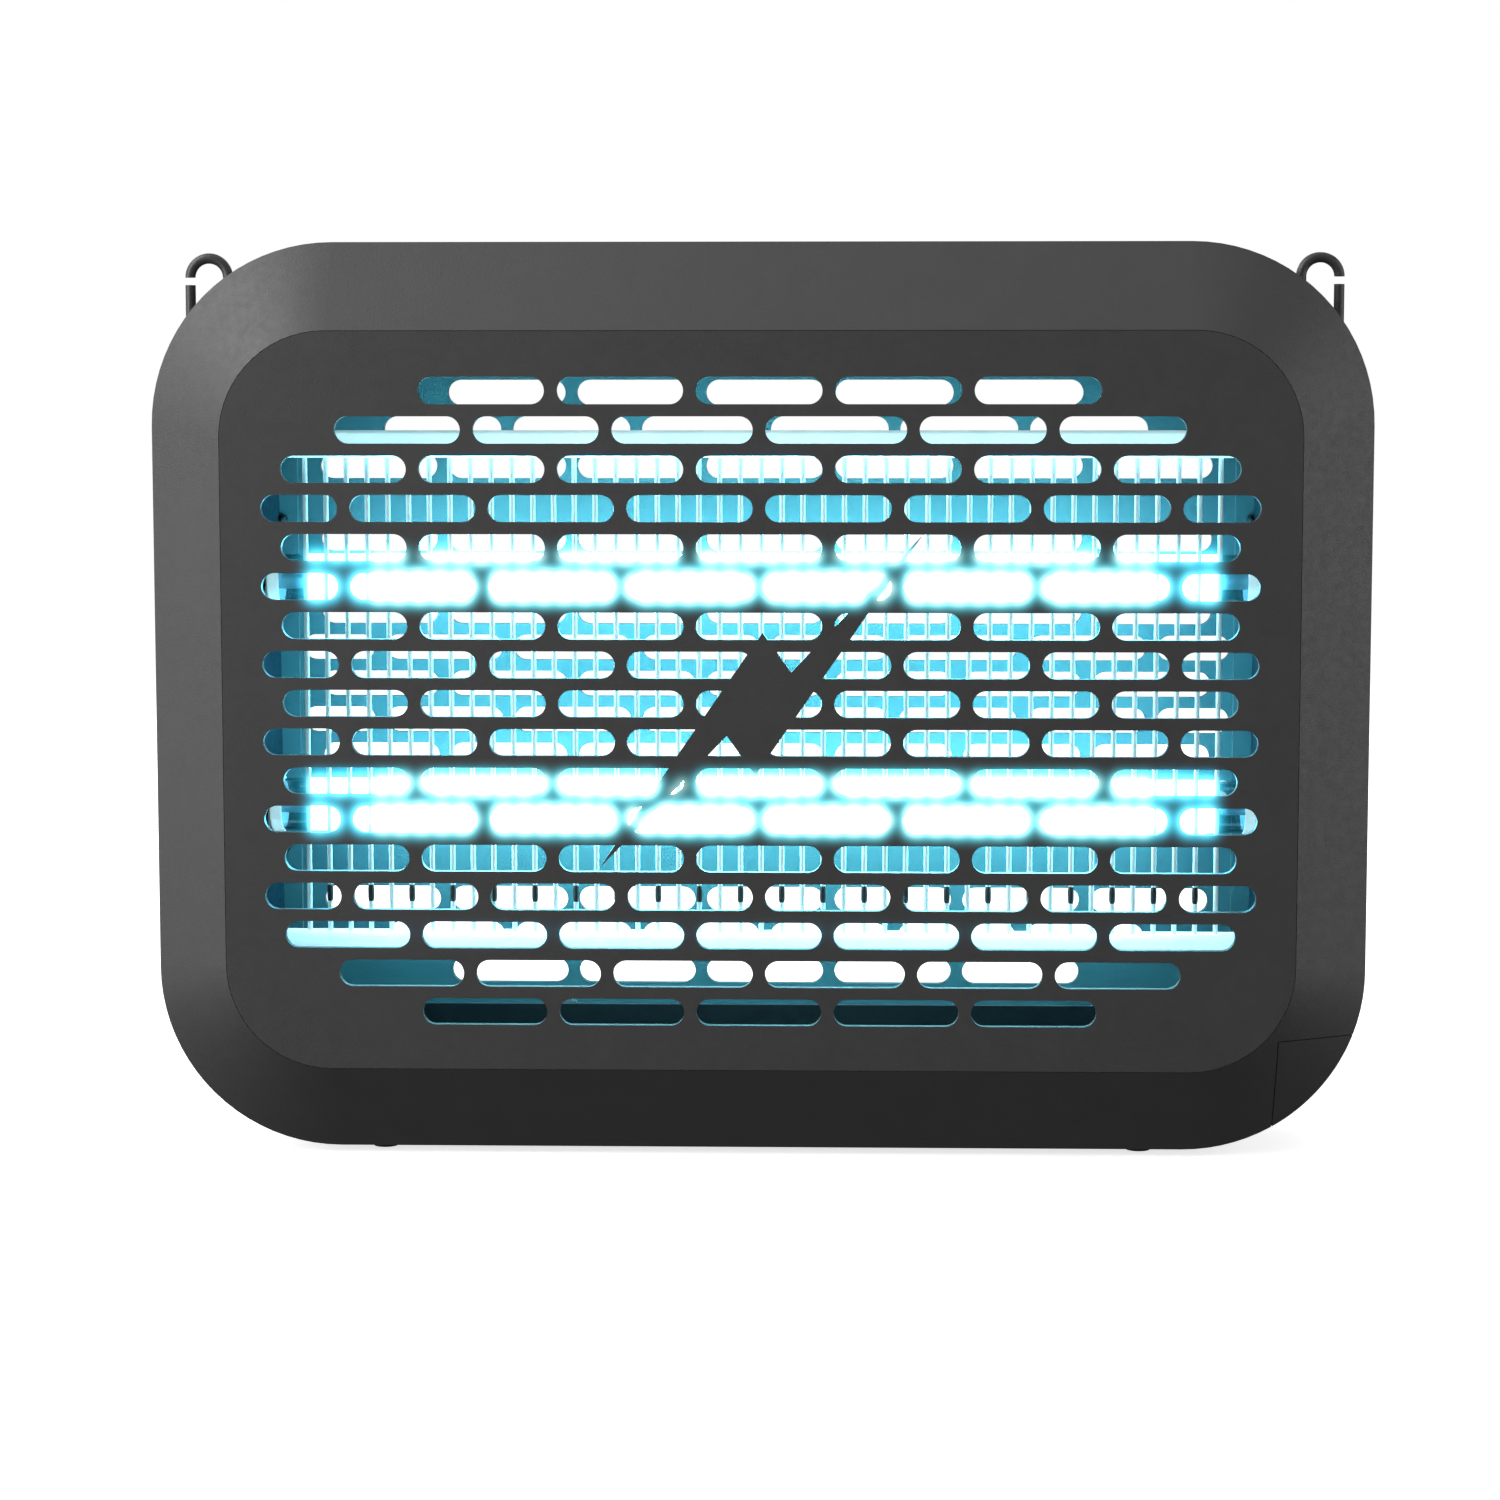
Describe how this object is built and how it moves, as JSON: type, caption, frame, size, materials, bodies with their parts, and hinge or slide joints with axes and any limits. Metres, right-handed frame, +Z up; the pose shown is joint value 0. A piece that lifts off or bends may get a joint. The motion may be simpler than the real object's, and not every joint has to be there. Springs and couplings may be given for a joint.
{
  "type": "electric bug zapper",
  "caption": "Flat insect killer with slotted grilles front and back, two ultraviolet tubes, a wire grid, hanging hooks and a pull-out tray.",
  "frame": {"origin": "on the surface the feet stand on, below the middle of the housing", "axes": "+X to the viewer's right along the housing, +Y towards the back, +Z up"},
  "size_m": [0.3474, 0.078, 0.262],
  "materials": {
    "housing": "fine matte texture",
    "inner_plastic": "matte",
    "tray_plastic": "matte",
    "rail_plastic": "satin",
    "holder_plastic": "satin",
    "black_plastic": "satin",
    "tube_glass": "lit",
    "aluminium": "satin",
    "brass": "satin",
    "steel_wire": "satin",
    "hook_steel": "satin",
    "zinc_screw": "satin",
    "black_screw": "satin",
    "rubber": "matte",
    "sleeve": "matte",
    "circuit_board": "satin",
    "ferrite": "matte",
    "capacitor": "gloss",
    "black_part": "matte",
    "resistor": "matte",
    "lead": "satin",
    "tungsten": "satin"
  },
  "bodies": {
    "housing": {"front_bezel": "housing", "back_shell": "housing", "front_grille": "housing", "back_grille": "housing", "cover_screws": "black_screw", "front_grille_screws": "zinc_screw", "back_grille_screws": "black_screw", "foot_front_left": "rubber", "foot_front_right": "rubber", "foot_back_left": "rubber", "foot_back_right": "rubber", "hanging_hook_right": "hook_steel", "hanging_hook_left": "hook_steel", "end_frame_right": "inner_plastic", "end_frame_left": "inner_plastic", "frame_screws": "zinc_screw", "rail_screws": "zinc_screw", "live_electrode": "steel_wire", "return_electrode": "steel_wire", "top_grid_rail": "rail_plastic", "bottom_grid_rail": "rail_plastic", "wire_sleeves": "sleeve", "ballast_board": "circuit_board", "high_voltage_board": "circuit_board", "board_screws": "zinc_screw", "ballast_choke": "ferrite", "ballast_capacitor": "black_part", "ballast_film_capacitors": "capacitor", "ballast_transistors": "black_part", "board_fuse": "resistor", "multiplier_capacitors": "capacitor", "multiplier_diodes": "black_part", "bleed_resistors": "resistor", "power_inlet": "black_plastic", "inlet_pins": "brass", "switch_body": "black_plastic", "switch_terminals": "brass", "mains_leads": "lead", "cross_leads": "lead", "grid_feeds": "lead", "upper_lamp_holder_right": "holder_plastic", "upper_lamp_holder_left": "holder_plastic", "lower_lamp_holder_right": "holder_plastic", "lower_lamp_holder_left": "holder_plastic"},
    "tray": {"tray_bin": "tray_plastic", "tray_end_cap": "housing", "tray_screws": "zinc_screw"},
    "rocker": {"switch_rocker": "black_plastic"},
    "upper_tube": {"upper_tube_glass": "tube_glass", "upper_tube_caps": "aluminium", "upper_tube_pins": "brass", "upper_tube_filaments": "tungsten", "upper_holder_rotors": "holder_plastic"},
    "lower_tube": {"lower_tube_glass": "tube_glass", "lower_tube_caps": "aluminium", "lower_tube_pins": "brass", "lower_tube_filaments": "tungsten", "lower_holder_rotors": "holder_plastic"}
  },
  "joints": [
    {"name": "tray_slide", "type": "slide", "parent": "housing", "child": "tray", "axis": [1, 0, 0], "range_m": [0, 0.32]},
    {"name": "switch_rock", "type": "hinge", "parent": "housing", "child": "rocker", "pos_m": [0.161, 0.033, 0.102], "axis": [1, 0, 0], "range_deg": [-19.8, 0]},
    {"name": "upper_tube_twist", "type": "hinge", "parent": "housing", "child": "upper_tube", "pos_m": [0, 0, 0.165], "axis": [1, 0, 0], "range_deg": [0, 90]},
    {"name": "lower_tube_twist", "type": "hinge", "parent": "housing", "child": "lower_tube", "pos_m": [0, 0, 0.099], "axis": [1, 0, 0], "range_deg": [0, 90]}
  ]
}
